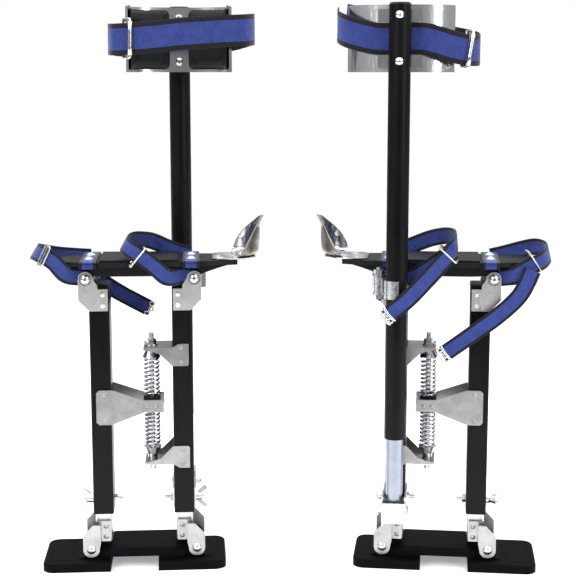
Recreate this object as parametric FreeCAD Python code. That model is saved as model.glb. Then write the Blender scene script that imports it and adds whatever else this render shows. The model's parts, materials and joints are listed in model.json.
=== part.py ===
import FreeCAD, Part
import math
import os

V = FreeCAD.Vector

# Each stilt has its own frame: toe towards -X, calf mast towards +Y, floor at z = 0, sole centred on x = 0.
# Where each stilt's frame stands: x, y, and its turn about Z in degrees.
PLACES = {"a": (-234.4, -5.0, 4.0), "b": (231.6, -5.0, 173.5)}

PIVOT_SPACING = 156.0
FRONT_PIVOT_X = -64.0
REAR_PIVOT_X = FRONT_PIVOT_X + PIVOT_SPACING
FOOT_PIVOT_Z = 28.0
TOP_PIVOT_Z = 434.0
LEG_SET_IN = 18.0
FRONT_LEG_X = FRONT_PIVOT_X + LEG_SET_IN
REAR_LEG_X = REAR_PIVOT_X - LEG_SET_IN

OUTER_TUBE = (30.0, 50.0)
OUTER_WALL = 2.4
TUBE_PLAY = 0.4
OUTER_Z = (78.0, 418.0)
INNER_Z = (36.0, 404.0)
LOCK_Z = 95.0
HOLE_PITCH = 25.0
HOLE_COUNT = 11

EAR_INNER_Y = 36.5
EAR_OUTER_Y = 39.5
FLANGE_Y = OUTER_TUBE[1] / 2 + 3.0
BOLT_R = 4.0
BOLT_PLAY = 0.08

SOLE_SIZE = (270.0, 114.0)
PAD_Z = 13.0
HUMP_Z = 30.0
NOTCH = (35.0, 17.0)

ROD_X = 27.7
ROD_R = 4.0
ROD_Z = (140.0, 347.0)
SPRING_R = 10.6
WIRE_R = 1.6
SPRING_TURNS = 9
YOKE_Z = (233.0, 251.0)
UPPER_CUP_Z = (311.0, 322.0)
LOWER_CUP_Z = (164.0, 175.0)
UPPER_WEB_Z = 327.0
LOWER_WEB_Z = 156.0

MAST_Y = 72.0
MAST_R = 15.5
MAST_WALL = 2.8
MAST_Z = (205.0, 819.0)
STRUT_R = 12.2
STRUT_Z = (84.0, 500.0)
STRUT_BOLT_Z = 98.0

PLATE_Z = 459.0
MAT_Z = 462.0
BEAM_Z = 436.0
BEAM_Y = 31.0

BAND_X = REAR_LEG_X
BAND_Z = (727.0, 820.0)
BAND_HALF = (76.0, 42.0)
BAND_CENTRE_Y = 10.0
BAND_WALL = 2.0
BAND_BOLT_Z = (742.0, 805.0)
PAD_FOAM = 7.0

STRAP_W = 25.0
STRAP_T = 2.0
CALF_STRAP_W = 44.0


def box(x0, x1, y0, y1, z0, z1):
    return Part.makeBox(x1 - x0, y1 - y0, z1 - z0, V(x0, y0, z0))


def bar(radius, start, end):
    start, end = V(*start), V(*end)
    return Part.makeCylinder(radius, (end - start).Length, start, end - start)


def cone(r0, r1, start, end):
    start, end = V(*start), V(*end)
    return Part.makeCone(r0, r1, (end - start).Length, start, end - start)


def slab(points, y0, y1):
    """A plate whose outline lies in the X-Z plane."""
    corners = [V(x, y0, z) for x, z in points]
    return Part.Face(Part.makePolygon(corners + corners[:1])).extrude(V(0, y1 - y0, 0))


def sheet(points, z0, z1):
    """A plate whose outline lies in the X-Y plane."""
    corners = [V(x, y, z0) for x, y in points]
    return Part.Face(Part.makePolygon(corners + corners[:1])).extrude(V(0, 0, z1 - z0))


def fused(*shapes):
    return shapes[0].multiFuse(list(shapes[1:])).removeSplitter()


def both_sides(shape):
    return [shape, shape.mirror(V(0, 0, 0), V(0, 1, 0))]


def rounded_bar(cx, cy, size, radius, z0, z1):
    x, y = size[0] / 2, size[1] / 2
    solid = box(cx - x, cx + x, cy - y, cy + y, z0, z1)
    upright = [e for e in solid.Edges if abs(e.tangentAt(e.FirstParameter).z) > 0.9]
    return solid.makeFillet(radius, upright)


def hexagon(across, start, end):
    start, end = V(*start), V(*end)
    radius = across / math.sqrt(3)
    angles = [math.pi / 3 * i for i in range(7)]
    corners = [V(radius * math.cos(angle), radius * math.sin(angle), 0) for angle in angles]
    solid = Part.Face(Part.makePolygon(corners)).extrude(V(0, 0, (end - start).Length))
    solid.Placement = FreeCAD.Placement(start, FreeCAD.Rotation(V(0, 0, 1), end - start))
    return solid


def dome(radius, height, base, direction):
    """A round rivet or bolt head that stands on base."""
    ball = (radius ** 2 + height ** 2) / (2 * height)
    direction = V(*direction).normalize()
    centre = V(*base) - direction * (ball - height)
    low = math.degrees(math.asin((ball - height) / ball))
    return Part.makeSphere(ball, centre, direction, low, 90, 360)


def ribbon(stations, width, thickness=STRAP_T):
    """Webbing as a ruled solid; a station is a centre point and the way the width points there."""
    sections = []
    for i, (centre, across) in enumerate(stations):
        ahead = V(*stations[min(i + 1, len(stations) - 1)][0]) - V(*stations[max(i - 1, 0)][0])
        ahead.normalize()
        across = V(*across) - ahead * V(*across).dot(ahead)
        across.normalize()
        out = ahead.cross(across) * (thickness / 2)
        half = across * (width / 2)
        c = V(*centre)
        corners = [c + half + out, c - half + out, c - half - out, c + half - out]
        sections.append(Part.makePolygon(corners + corners[:1]))
    return Part.makeLoft(sections, True, True)


# ---- sole ------------------------------------------------------------------

def pivot_lugs():
    """Round-topped lugs on the sole that carry the two lower pivot bolts."""
    lugs = []
    for x in (FRONT_PIVOT_X, REAR_PIVOT_X):
        crown = bar(9, (x, -36, FOOT_PIVOT_Z), (x, 36, FOOT_PIVOT_Z))
        lug = fused(box(x - 9, x + 9, -36, 36, PAD_Z - 3, FOOT_PIVOT_Z), crown)
        lugs.append(lug.cut(bar(BOLT_R, (x, -40, FOOT_PIVOT_Z), (x, 40, FOOT_PIVOT_Z))))
    return lugs


def sole():
    pads = rounded_bar(0, 0, SOLE_SIZE, 17, 0, PAD_Z)
    pads = pads.makeFillet(3.5, [e for e in pads.Edges if min(v.Z for v in e.Vertexes) > PAD_Z - 0.1])
    slopes = [(-92, 8), (-88, 12), (-60, 21), (-34, HUMP_Z), (62, HUMP_Z), (88, 21), (116, 12), (120, 8)]
    narrow = slab(slopes, -35.8, 35.8)
    wide = slab([(-46, 8), (-46, 23), (-31, HUMP_Z), (59, HUMP_Z), (74, 23), (74, 8)], -41, 41)
    body = fused(pads, narrow, wide)
    crest = [e for e in body.Edges if e.Length > 60 and min(v.Z for v in e.Vertexes) > HUMP_Z - 0.1]
    body = body.makeFillet(4, crest)
    body = body.cut(box(-NOTCH[0], NOTCH[0], -80, 80, -1, NOTCH[1]))
    rim = box(-126, -93, -44, 44, PAD_Z - 0.6, PAD_Z + 1)
    rim = rim.cut(box(-124.5, -94.5, -42.5, 42.5, 0, PAD_Z + 2))
    pivots = (FRONT_PIVOT_X, REAR_PIVOT_X)
    bores = [bar(BOLT_R, (x, -40, FOOT_PIVOT_Z), (x, 40, FOOT_PIVOT_Z)) for x in pivots]
    return body.cut(Part.makeCompound([rim] + pivot_lugs() + bores))


def pivot_bolts(z, washer):
    """Two bolts across the ears, each with a washer, a domed socket head and a nut."""
    solids = []
    for x in (FRONT_PIVOT_X, REAR_PIVOT_X):
        face = EAR_OUTER_Y + (3.4 if washer and x == REAR_PIVOT_X else 0.3)
        solid = bar(BOLT_R, (x, -EAR_OUTER_Y - 2, z), (x, face + 2, z))
        for side, y in ((-1, EAR_OUTER_Y + 0.3), (1, face)):
            if washer:
                solid = solid.fuse(bar(9.3, (x, side * y, z), (x, side * (y + 1.6), z)))
                y += 1.6
            head = dome(6.8, 3.6, (x, side * y, z), (0, side, 0))
            socket = hexagon(4.2, (x, side * (y + 1.4), z), (x, side * (y + 6), z))
            solid = solid.fuse(head).cut(socket)
        solids.append(solid.removeSplitter())
    return Part.makeCompound(solids)


# ---- legs ------------------------------------------------------------------

def inner_tube(x):
    size = [s - 2 * (OUTER_WALL + TUBE_PLAY) for s in OUTER_TUBE]
    tube = rounded_bar(x, 0, size, 2.6, *INNER_Z)
    tube = tube.cut(rounded_bar(x, 0, [s - 4 for s in size], 1.2, INNER_Z[0] - 1, INNER_Z[1] + 1))
    heights = [LOCK_Z + HOLE_PITCH * i for i in range(HOLE_COUNT)]
    holes = [bar(3.4, (x - 20, 0, z), (x + 20, 0, z)) for z in heights]
    return tube.cut(Part.makeCompound(holes))


def outer_tube(x):
    """Leg tube with two shallow grooves down each broad face, and its black end plug."""
    tube = rounded_bar(x, 0, OUTER_TUBE, 3.2, *OUTER_Z)
    bore = [s - 2 * OUTER_WALL for s in OUTER_TUBE]
    tube = tube.cut(rounded_bar(x, 0, bore, 2.0, OUTER_Z[0] - 1, OUTER_Z[1] + 1))
    y = OUTER_TUBE[1] / 2
    grooves = [box(u - 0.5, u + 0.5, v - 0.4, v + 0.4, 0, 500) for u in (x - 10, x + 10) for v in (-y, y)]
    tube = tube.cut(Part.makeCompound(grooves))
    low = OUTER_Z[1]
    plug = rounded_bar(x, 0, [s - 0.6 for s in OUTER_TUBE], 3.0, low, low + 4.5)
    plug = plug.makeFillet(1.5, [e for e in plug.Edges if min(v.Z for v in e.Vertexes) > low + 4])
    return Part.makeCompound([tube, plug])


def side_bracket(ear, flange, step_z, step_x, rivets):
    """One half of a leg bracket: flange on the leg's face, step outwards, pivot ear; u runs inboard."""
    low, high = step_z
    parts = [
        ear,
        slab(flange, OUTER_TUBE[1] / 2, FLANGE_Y),
        box(step_x - 3, step_x, OUTER_TUBE[1] / 2, EAR_OUTER_Y, low, high),
    ]
    parts += [dome(3.6, 2.0, (u, FLANGE_Y, z), (0, 1, 0)) for u, z in rivets]
    return fused(*parts)


def bracket_pair(half, pivot_x, inboard, bore_z):
    """Both halves of a bracket, set at its pivot and turned so that u runs inboard."""
    half = half.cut(bar(BOLT_R + BOLT_PLAY, (0, 0, bore_z), (0, 60, bore_z)))
    if inboard < 0:
        half = half.mirror(V(0, 0, 0), V(1, 0, 0))
    half.translate(V(pivot_x, 0, 0))
    return Part.makeCompound(both_sides(half))


def foot_bracket(pivot_x, inboard):
    z = FOOT_PIVOT_Z
    ear = slab([(-12, z), (-12, 49), (3, 65), (14, 65), (14, 37), (12, z)], EAR_INNER_Y, EAR_OUTER_Y)
    ear = fused(ear, bar(12, (0, EAR_INNER_Y, z), (0, EAR_OUTER_Y, z)))
    flange = [(6, 60), (6, 68), (28.5, 68), (28.5, 37), (11, 37), (11, 60)]
    half = side_bracket(ear, flange, (40, 65), 14, [(21.5, 44), (21.5, 60)])
    half = half.cut(box(7, 10.5, 20, 30, 61.5, 65))
    inner = OUTER_TUBE[1] / 2 - OUTER_WALL - TUBE_PLAY
    shim = box(6.5, 28.5, inner, OUTER_TUBE[1] / 2, 38, 67)
    return bracket_pair(fused(half, shim), pivot_x, inboard, z)


def top_bracket(pivot_x, inboard):
    z = TOP_PIVOT_Z
    outline = [(-10.5, z), (-10.5, 403), (5, 387), (17, 387), (17, 424), (10.5, z)]
    ear = slab(outline, EAR_INNER_Y, EAR_OUTER_Y)
    ear = fused(ear, bar(10.5, (0, EAR_INNER_Y, z), (0, EAR_OUTER_Y, z)))
    flange = [(14, 385), (14, 417), (31, 417), (31, 385)]
    half = side_bracket(ear, flange, (387, 420), 17, [(23.5, 393), (23.5, 409)])
    return bracket_pair(half, pivot_x, inboard, z)


def wing_bolt(x, outward, turn):
    """Wing nut on one side of the leg and the nut on the other, both free of the inner tube."""
    face = OUTER_TUBE[0] / 2 + 0.3
    hub = cone(6.8, 5.2, (face, 0, 0), (face + 11, 0, 0))
    stub = bar(3, (face - OUTER_WALL, 0, 0), (face + 14, 0, 0))
    outline = [(3, 3), (7, 3), (19, 12), (19, 15), (14, 16.5), (4, 7.5)]
    wing = slab([(face + u, z) for u, z in outline], -1.8, 1.8)
    wing = wing.makeFillet(0.8, [e for e in wing.Edges if e.Length < 4])
    other = wing.mirror(V(0, 0, 0), V(0, 0, 1))
    wings = fused(hub, stub, wing, other)
    nut = hexagon(11, (-face, 0, 0), (-face - 5, 0, 0))
    tail = bar(3, (-face + OUTER_WALL, 0, 0), (-face - 14, 0, 0))
    solids = Part.makeCompound([wings, fused(nut, tail)])
    solids.rotate(V(0, 0, 0), V(1, 0, 0), turn)
    if outward < 0:
        solids = solids.mirror(V(0, 0, 0), V(1, 0, 0))
    solids.translate(V(x, 0, LOCK_Z))
    return solids


def drill_lock(tube, x):
    return tube.cut(bar(3.1, (x - 30, 0, LOCK_Z), (x + 30, 0, LOCK_Z)))


# ---- ankle spring ----------------------------------------------------------

def spring_yoke():
    """Two tapering side plates, riveted to the front leg, that reach around the spring rod."""
    low, high = YOKE_Z
    x = FRONT_LEG_X
    outline = [(x - 7, 219), (x - 3, 215), (x + 16, 215), (ROD_X - 11, low), (ROD_X + 18, low),
               (ROD_X + 18, high), (ROD_X - 11, high), (x + 16, 267), (x - 3, 267), (x - 7, 263)]
    half = slab(outline, OUTER_TUBE[1] / 2, FLANGE_Y)
    middle = (low + high) / 2
    rivets = [(x + 5, 221), (x + 5, 260), (ROD_X - 6, middle), (ROD_X + 6, middle)]
    half = fused(half, *[dome(3.4, 1.8, (u, FLANGE_Y, z), (0, 1, 0)) for u, z in rivets])
    return Part.makeCompound(both_sides(half))


def spring_collar():
    low, high = YOKE_Z
    y = OUTER_TUBE[1] / 2
    block = box(ROD_X - 12, ROD_X + 12, -y, y, low + 1.5, high - 1.5)
    block = block.fuse(bar(12.4, (ROD_X, 0, low), (ROD_X, 0, high))).removeSplitter()
    return block.cut(bar(ROD_R + 2.2, (ROD_X, 0, low - 1), (ROD_X, 0, high + 1)))


def spring_arm(web_z, up):
    """A channel on the rear leg: a web at the rod and two side plates that taper from the leg."""
    def z(d):
        return web_z + up * d
    leg = REAR_LEG_X - OUTER_TUBE[0] / 2
    outline = [(leg + 24, z(8)), (leg + 9, z(8)), (leg, z(2.5)), (ROD_X - 11, z(2.5)),
               (ROD_X - 11, z(-1)), (ROD_X + 2, z(-2.5)), (ROD_X + 14, z(-8)), (leg, z(-25)),
               (leg + 22, z(-25)), (leg + 24, z(-23))]
    y = OUTER_TUBE[1] / 2
    half = slab(outline, y, FLANGE_Y)
    rivets = [(leg + 13, z(-19)), (leg + 13, z(2))]
    half = fused(half, *[dome(3.2, 1.8, (u, FLANGE_Y, h), (0, 1, 0)) for u, h in rivets])
    low, high = sorted((z(-0.5), z(2.5)))
    web = box(ROD_X - 11, leg - 0.5, -y, y, low, high)
    arm = fused(web, *both_sides(half))
    return arm.cut(bar(ROD_R, (ROD_X, 0, low - 5), (ROD_X, 0, high + 5)))


def spring_rod():
    """Rod with its spring cups, washers and nuts."""
    def at(z):
        return (ROD_X, 0, z)
    above, below = UPPER_WEB_Z, LOWER_WEB_Z
    return fused(
        bar(ROD_R, at(ROD_Z[0]), at(ROD_Z[1])),
        cone(13.6, 8.5, at(UPPER_CUP_Z[0]), at(UPPER_CUP_Z[1])),
        bar(7, at(UPPER_CUP_Z[1]), at(above - 0.5)),
        bar(10, at(above + 2.5), at(above + 4.3)),
        hexagon(13, at(above + 4.3), at(above + 11)),
        cone(8.5, 13.6, at(LOWER_CUP_Z[0]), at(LOWER_CUP_Z[1])),
        bar(7, at(below + 0.5), at(LOWER_CUP_Z[0])),
        bar(10, at(below - 4.3), at(below - 2.5)),
        hexagon(13, at(below - 10), at(below - 4.3)),
    )


def spring(low, high):
    length = high - low - 2 * WIRE_R
    pitch = length / SPRING_TURNS
    helix = Part.makeHelix(pitch, length, SPRING_R)
    slope = pitch / (2 * math.pi * SPRING_R)
    ring = Part.Wire(Part.makeCircle(WIRE_R, V(SPRING_R, 0, 0), V(0, 1, slope)))
    coil = Part.Wire(helix.Edges).makePipeShell([ring], True, True)
    coil.translate(V(ROD_X, 0, low + WIRE_R))
    return coil


# ---- strut and mast --------------------------------------------------------

def strut_bracket():
    """U bracket around the foot of the rear leg, and the bolt that holds the strut in it."""
    x = OUTER_TUBE[0] / 2
    outer = x + 2.5
    outline = [(-12, 82), (50, 82), (50, 75), (84, 75), (84, 82), (92, 82), (92, 112), (84, 112),
               (84, 119), (50, 119), (50, 112), (-12, 112)]
    corners = [V(-outer, y, z) for y, z in outline]
    block = Part.Face(Part.makePolygon(corners + corners[:1])).extrude(V(2 * outer, 0, 0))
    bracket = block.cut(box(-x, x, -13, MAST_Y + 17.5, 74, 120))
    bracket = bracket.cut(bar(8, (-40, 0, LOCK_Z), (40, 0, LOCK_Z)))
    bracket.translate(V(REAR_LEG_X, 0, 0))
    bolt = fused(bar(4, (-outer, MAST_Y, STRUT_BOLT_Z), (outer + 9, MAST_Y, STRUT_BOLT_Z)),
                 dome(7, 4, (-outer, MAST_Y, STRUT_BOLT_Z), (-1, 0, 0)),
                 hexagon(13, (outer, MAST_Y, STRUT_BOLT_Z), (outer + 6, MAST_Y, STRUT_BOLT_Z)))
    bolt.translate(V(REAR_LEG_X, 0, 0))
    return Part.makeCompound([bracket.cut(bolt), bolt])


def strut_tube():
    """Bright tube beside the rear leg, open above its solid foot block."""
    x, y = REAR_LEG_X, MAST_Y
    low, high = STRUT_Z
    foot = rounded_bar(x, y, (29.6, 18), 3, low, low + 30)
    tube = fused(bar(STRUT_R, (x, y, low), (x, y, high)), foot)
    tube = tube.cut(bar(STRUT_R - 2.2, (x, y, low + 34), (x, y, high + 1)))
    return tube.cut(bar(4, (x - 30, y, STRUT_BOLT_Z), (x + 30, y, STRUT_BOLT_Z)))


def mast_bracket():
    """Lug on the rear top bracket with an upright bolt and bush, and a clip around the mast."""
    x, y = REAR_PIVOT_X + 7.5, 60.0
    back = box(x - 17, x + 10, EAR_OUTER_Y, EAR_OUTER_Y + 3, 408, 442)
    tabs = [box(x - 9, x + 9, EAR_OUTER_Y, y, z, z + 3) for z in (416, 437)]
    tabs += [bar(9, (x, y, z), (x, y, z + 3)) for z in (416, 437)]
    lug = fused(back, *tabs)
    face = EAR_OUTER_Y + 3
    lug = lug.cut(bar(BOLT_R + BOLT_PLAY, (REAR_PIVOT_X, 30, TOP_PIVOT_Z), (REAR_PIVOT_X, 60, TOP_PIVOT_Z)))
    lug = lug.cut(bar(10.2, (REAR_PIVOT_X, face, TOP_PIVOT_Z), (REAR_PIVOT_X, face + 9, TOP_PIVOT_Z)))
    bolt = fused(bar(4, (x, y, 404), (x, y, 452)), bar(8.6, (x, y, 419), (x, y, 437)),
                 bar(10.5, (x, y, 440), (x, y, 442)), hexagon(14, (x, y, 442), (x, y, 449)),
                 bar(10.5, (x, y, 414), (x, y, 416)), hexagon(14, (x, y, 407), (x, y, 414)))
    lug = lug.cut(bolt)
    bore = MAST_R + 0.35
    u, v = REAR_LEG_X, MAST_Y
    ring = bar(bore + 2.5, (u, v, 410), (u, v, 436)).cut(bar(bore, (u, v, 400), (u, v, 440)))
    wedge = sheet([(u, v), (u + 40, v - 40), (u + 40, v + 40), (u - 8, v + 40)], 400, 440)
    clip = ring.common(wedge).cut(bar(10.5, (x, y, 400), (x, y, 440)))
    return Part.makeCompound([lug, bolt, clip])


def mast_tube():
    x, y = REAR_LEG_X, MAST_Y
    low, high = MAST_Z
    tube = bar(MAST_R, (x, y, low), (x, y, high))
    tube = tube.cut(bar(MAST_R - MAST_WALL, (x, y, low - 1), (x, y, high + 1)))
    tube = tube.cut(Part.makeCompound([bar(3, (x, 40, z), (x, 100, z)) for z in BAND_BOLT_Z]))
    plug = cone(MAST_R, MAST_R - 2, (x, y, high), (x, y, high + 3))
    return Part.makeCompound([tube, plug])


def band_section(inset, z0, z1, end_y):
    """The calf band's U outline in plan, grown inwards by inset, as an extruded solid."""
    a, b = BAND_HALF[0] - inset, BAND_HALF[1] - inset
    x, y = BAND_X, BAND_CENTRE_Y
    arc = Part.Ellipse(V(x, y, z0), a, b).toShape(0, math.pi)
    ends = [V(x - a, y, z0), V(x - a + 8, end_y, z0), V(x + a - 8, end_y, z0), V(x + a, y, z0)]
    open_side = Part.makePolygon(ends).Edges
    return Part.Face(Part.Wire([arc] + open_side)).extrude(V(0, 0, z1 - z0))


def calf_band():
    low, high = BAND_Z
    shell = band_section(0, low, high, -30).cut(band_section(BAND_WALL, low - 1, high + 1, -60))
    rims = [band_section(0, z, z + 3, -30).cut(band_section(4.2, z - 1, z + 4, -60)) for z in (low, high - 3)]
    band = fused(shell, *rims)
    x, back, mast_back = BAND_X, BAND_CENTRE_Y + BAND_HALF[1], MAST_Y + MAST_R
    fixings = []
    for z in BAND_BOLT_Z:
        bore = bar(3, (x, 0, z), (x, mast_back + 14.5, z))
        saddle = box(x - 31, x + 31, back, MAST_Y - MAST_R - 0.1, z - 9, z + 9)
        bolt = fused(bar(3, (x, 45, z), (x, mast_back, z)),
                     dome(5.5, 3, (x, 50, z), (0, -1, 0)),
                     dome(5.5, 3.4, (x, mast_back, z), (0, 1, 0)))
        band = band.cut(bore)
        fixings += [saddle.cut(bore), bolt]
    return Part.makeCompound([band] + fixings)


def calf_pads():
    """Two foam pads that line the band, with a gap between them at the mast."""
    low, high = BAND_Z[0] + 4, BAND_Z[1] - 4
    foam = band_section(BAND_WALL + 0.2, low, high, -28)
    foam = foam.cut(band_section(BAND_WALL + PAD_FOAM, low - 1, high + 1, -60))
    foam = foam.cut(box(BAND_X - 13, BAND_X + 13, 0, 80, low - 1, high + 1))
    return Part.makeCompound(foam.Solids)


# ---- platform --------------------------------------------------------------

def foot_plate():
    """Boat-shaped platform: a flat top with a raised mat over a deep beam with two pivot bushes."""
    half = [(-122, 30), (-108, 38), (-70, 44), (-40, 52), (50, 52), (84, 44), (128, 40), (155, 32)]
    deck = sheet(half + [(x, -y) for x, y in reversed(half)], PLATE_Z - 7, PLATE_Z)
    hull = [(-116, PLATE_Z - 5), (-100, 449), (-74, 438), (-30, BEAM_Z), (56, BEAM_Z), (100, 438), (126, 447),
            (150, PLATE_Z - 5)]
    beam = slab(hull, -BEAM_Y, BEAM_Y)
    mat = sheet([(-43, -49), (-43, 49), (70, 46), (70, -46)], PLATE_Z, MAT_Z)
    pivots, z, y = (FRONT_PIVOT_X, REAR_PIVOT_X), TOP_PIVOT_Z, BEAM_Y + 2
    bushes = [bar(9, (x, -y, z), (x, y, z)) for x in pivots]
    bores = [bar(BOLT_R, (x, -60, z), (x, 60, z)) for x in pivots]
    pocket = box(-26, 52, -BEAM_Y + 5, BEAM_Y - 5, BEAM_Z - 5, PLATE_Z - 8)
    return fused(deck, beam, mat, *bushes).cut(Part.makeCompound(bores)).cut(pocket)


def heel_cup():
    """Polished sheet scoop behind the heel on a flat tongue."""
    levels = [(PLATE_Z + 1.4, 146, 37, 35), (467, 147, 40, 37), (486, 148, 40, 35), (505, 151, 38, 29), (520, 161, 34, 19)]

    def skin(inset):
        ovals = [Part.Ellipse(V(x, 0, z), a - inset, b - inset) for z, x, a, b in levels]
        rings = [Part.Wire(oval.toShape()) for oval in ovals]
        return Part.makeLoft(rings, True)
    cup = skin(0).cut(skin(1.8))
    rake = [(60, 430), (60, 540), (190, 540), (196, 523), (188, 509), (175, 490), (163, 470), (152, 461), (152, 430)]
    cup = cup.cut(slab(rake, -60, 60))
    side = [(118, 26), (126, 33), (148, 36), (164, 32), (179, 16)]
    tongue = sheet(side + [(x, -y) for x, y in reversed(side)], PLATE_Z, PLATE_Z + 1.8)
    return fused(cup, tongue)


def strap_patch(x, edge):
    """Webbing across the deck under two screws, turned down over both edges."""
    z = PLATE_Z + 0.5
    half = [(-edge - 2, z - 9), (-edge - 1.6, z - 1), (-edge + 2, z + 1)]
    whole = half + [(-y, h) for y, h in reversed(half)]
    return ribbon([((x, y, h), (1, 0, 0)) for y, h in whole], STRAP_W - 1)


# Strap loops: centre points and the way the width points.
UP = (0, 0, 1)


TOE_LOOPS = {
    "a": [
        ((-69.5, -34.6, 436), UP),
        ((-77, -34.7, 437), UP),
        ((-84, -38.5, 438.5), UP),
        ((-91, -46, 442.5), (0.1, 0, 1)),
        ((-98, -48, 450), (0.25, 0, 1)),
        ((-107, -46.5, 460), (0.4, 0, 1)),
        ((-118, -43, 467), (0.48, 0, 1)),
        ((-130, -32, 471.5), (0.55, 0, 1)),
        ((-137.5, -12, 472), (0.6, 0, 1)),
        ((-135, 8, 468.5), (0.5, 0, 1)),
        ((-122, 31, 462.5), (0.35, 0, 1)),
        ((-106, 44.5, 458), (0.15, 0, 1)),
        ((-86, 53, 455), UP),
        ((-62, 56, 453), UP),
    ],
    "b": [
        ((-69.5, 34.6, 436), UP),
        ((-77, 34.7, 436.5), UP),
        ((-84, 38.5, 438), UP),
        ((-93, 45, 441), (0.1, 0, 1)),
        ((-112, 45, 453), (0.2, 0, 1)),
        ((-130, 38, 461), (0.25, 0, 1)),
        ((-140, 22, 467), (0.25, 0, 1)),
        ((-143, 0, 470), (0.25, 0, 1)),
        ((-139, -22, 472), (0.25, 0, 1)),
        ((-125, -40, 472), (0.2, 0, 1)),
        ((-104, -50, 466), UP),
        ((-82, -55, 459), UP),
        ((-62, -56, 454), UP),
    ],
}
ANKLE_LOOPS = {
    "a": [
        ((86.5, -34.6, 436), UP),
        ((73, -34.8, 437), UP),
        ((62, -47, 436.5), (-0.1, 0, 1)),
        ((52, -56, 439), (-0.2, 0, 1)),
        ((40, -58, 450), (-0.3, 0, 1)),
        ((25, -58.5, 462.5), (-0.3, 0, 1)),
        ((9, -57.5, 474), UP),
        ((-2.5, -49, 481), (0.3, 0, 1)),
        ((-7.5, -34, 484.5), (0.5, 0, 1)),
        ((-5.5, -14, 486.5), (0.6, 0, 1)),
        ((2, 3, 486.5), (0.6, 0, 1)),
        ((13, 20, 484), (0.5, 0, 1)),
        ((25, 39, 480), (0.4, 0, 1)),
        ((38, 54.5, 473.5), (0.1, 0, 1)),
        ((52, 54.4, 467), UP),
        ((66, 53.6, 461.5), UP),
        ((86, 51, 456), UP),
    ],
    "b": [
        ((86.5, 34.6, 436), UP),
        ((73, 34.8, 438), UP),
        ((61, 47, 436.5), (-0.1, 0, 1)),
        ((47, 56, 440), (-0.2, 0, 1)),
        ((20, 57.5, 458), (-0.3, 0, 1)),
        ((5, 56.5, 470), (-0.1, 0, 1)),
        ((-5, 50, 480), UP),
        ((-10, 33, 486), (0.1, 0, 1)),
        ((-9, 10, 489), (0.1, 0, 1)),
        ((-2, -12, 489.5), (0.1, 0, 1)),
        ((10, -33, 487), (0.1, 0, 1)),
        ((28, -50, 481), UP),
        ((48, -57, 472.5), UP),
        ((68, -56, 464), UP),
        ((86, -52, 456), UP),
    ],
}
TAILS = {
    "a": [
        [((-96, 46, 446), (0.3, 0, 1)), ((-62, 48, 428), (0.45, 0, 1)),
         ((-24, 49, 402), (0.5, 0, 1)), ((26, 50, 374), (0.5, 0, 1))],
    ],
    "b": [
        [((-117, 50, 450), (1, 0, 0.5)), ((-101, 52, 415), (1, 0, 0.6)), ((-72, 52, 385), (1, 0, 1)),
         ((-34, 50, 355), (0.8, 0, 1)), ((8, 48, 323), (0.7, 0, 1))],
        [((-4, 60, 476), (1, 0, 0.9)), ((24, 76, 446), (1, 0, 0.9)),
         ((56, 93, 413), (1, 0, 0.9)), ((88, 94.5, 386), (1, 0, 0.9))],
    ],
}


def foot_straps(name):
    """Each loop runs from its pivot bolt round the foot to its patch on the other side of the deck."""
    loops = [ribbon(path, STRAP_W) for path in (TOE_LOOPS[name], ANKLE_LOOPS[name])]
    patches = [strap_patch(-59, 51.5), strap_patch(88, 47)]
    tails = [ribbon(path, STRAP_W) for path in TAILS[name]]
    return Part.makeCompound(loops + patches + tails)


CALF_LOOPS = {
    "a": [(-25, -14, 773), (-17, -40, 772), (8, -50, 773), (44, -55, 776), (84, -58, 780), (130, -57, 783),
          (166, -45, 785), (181, -16, 787), (176, 16, 786), (157, 42, 781), (125, 53, 775), (105, 54.2, 773),
          (74, 54.2, 773), (43, 54.2, 773), (24, 51, 773), (0, 40, 771), (-18, 17, 772)],
    "b": [(164, -2, 798), (163, 22, 791), (150, 41, 784), (126, 51, 777), (105, 54.2, 773), (74, 54.2, 773),
          (43, 54.2, 773), (24, 52, 769), (0, 44, 762), (-20, 30, 758), (-36, 6, 758), (-34, -24, 762),
          (-12, -42, 768), (40, -52, 778), (90, -54, 790), (130, -47, 799), (155, -27, 803)],
}


def calf_strap(name):
    """Wide strap threaded between band and mast and buckled across the open side."""
    return ribbon([(point, UP) for point in CALF_LOOPS[name]], CALF_STRAP_W)


# ---- one stilt -------------------------------------------------------------

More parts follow.
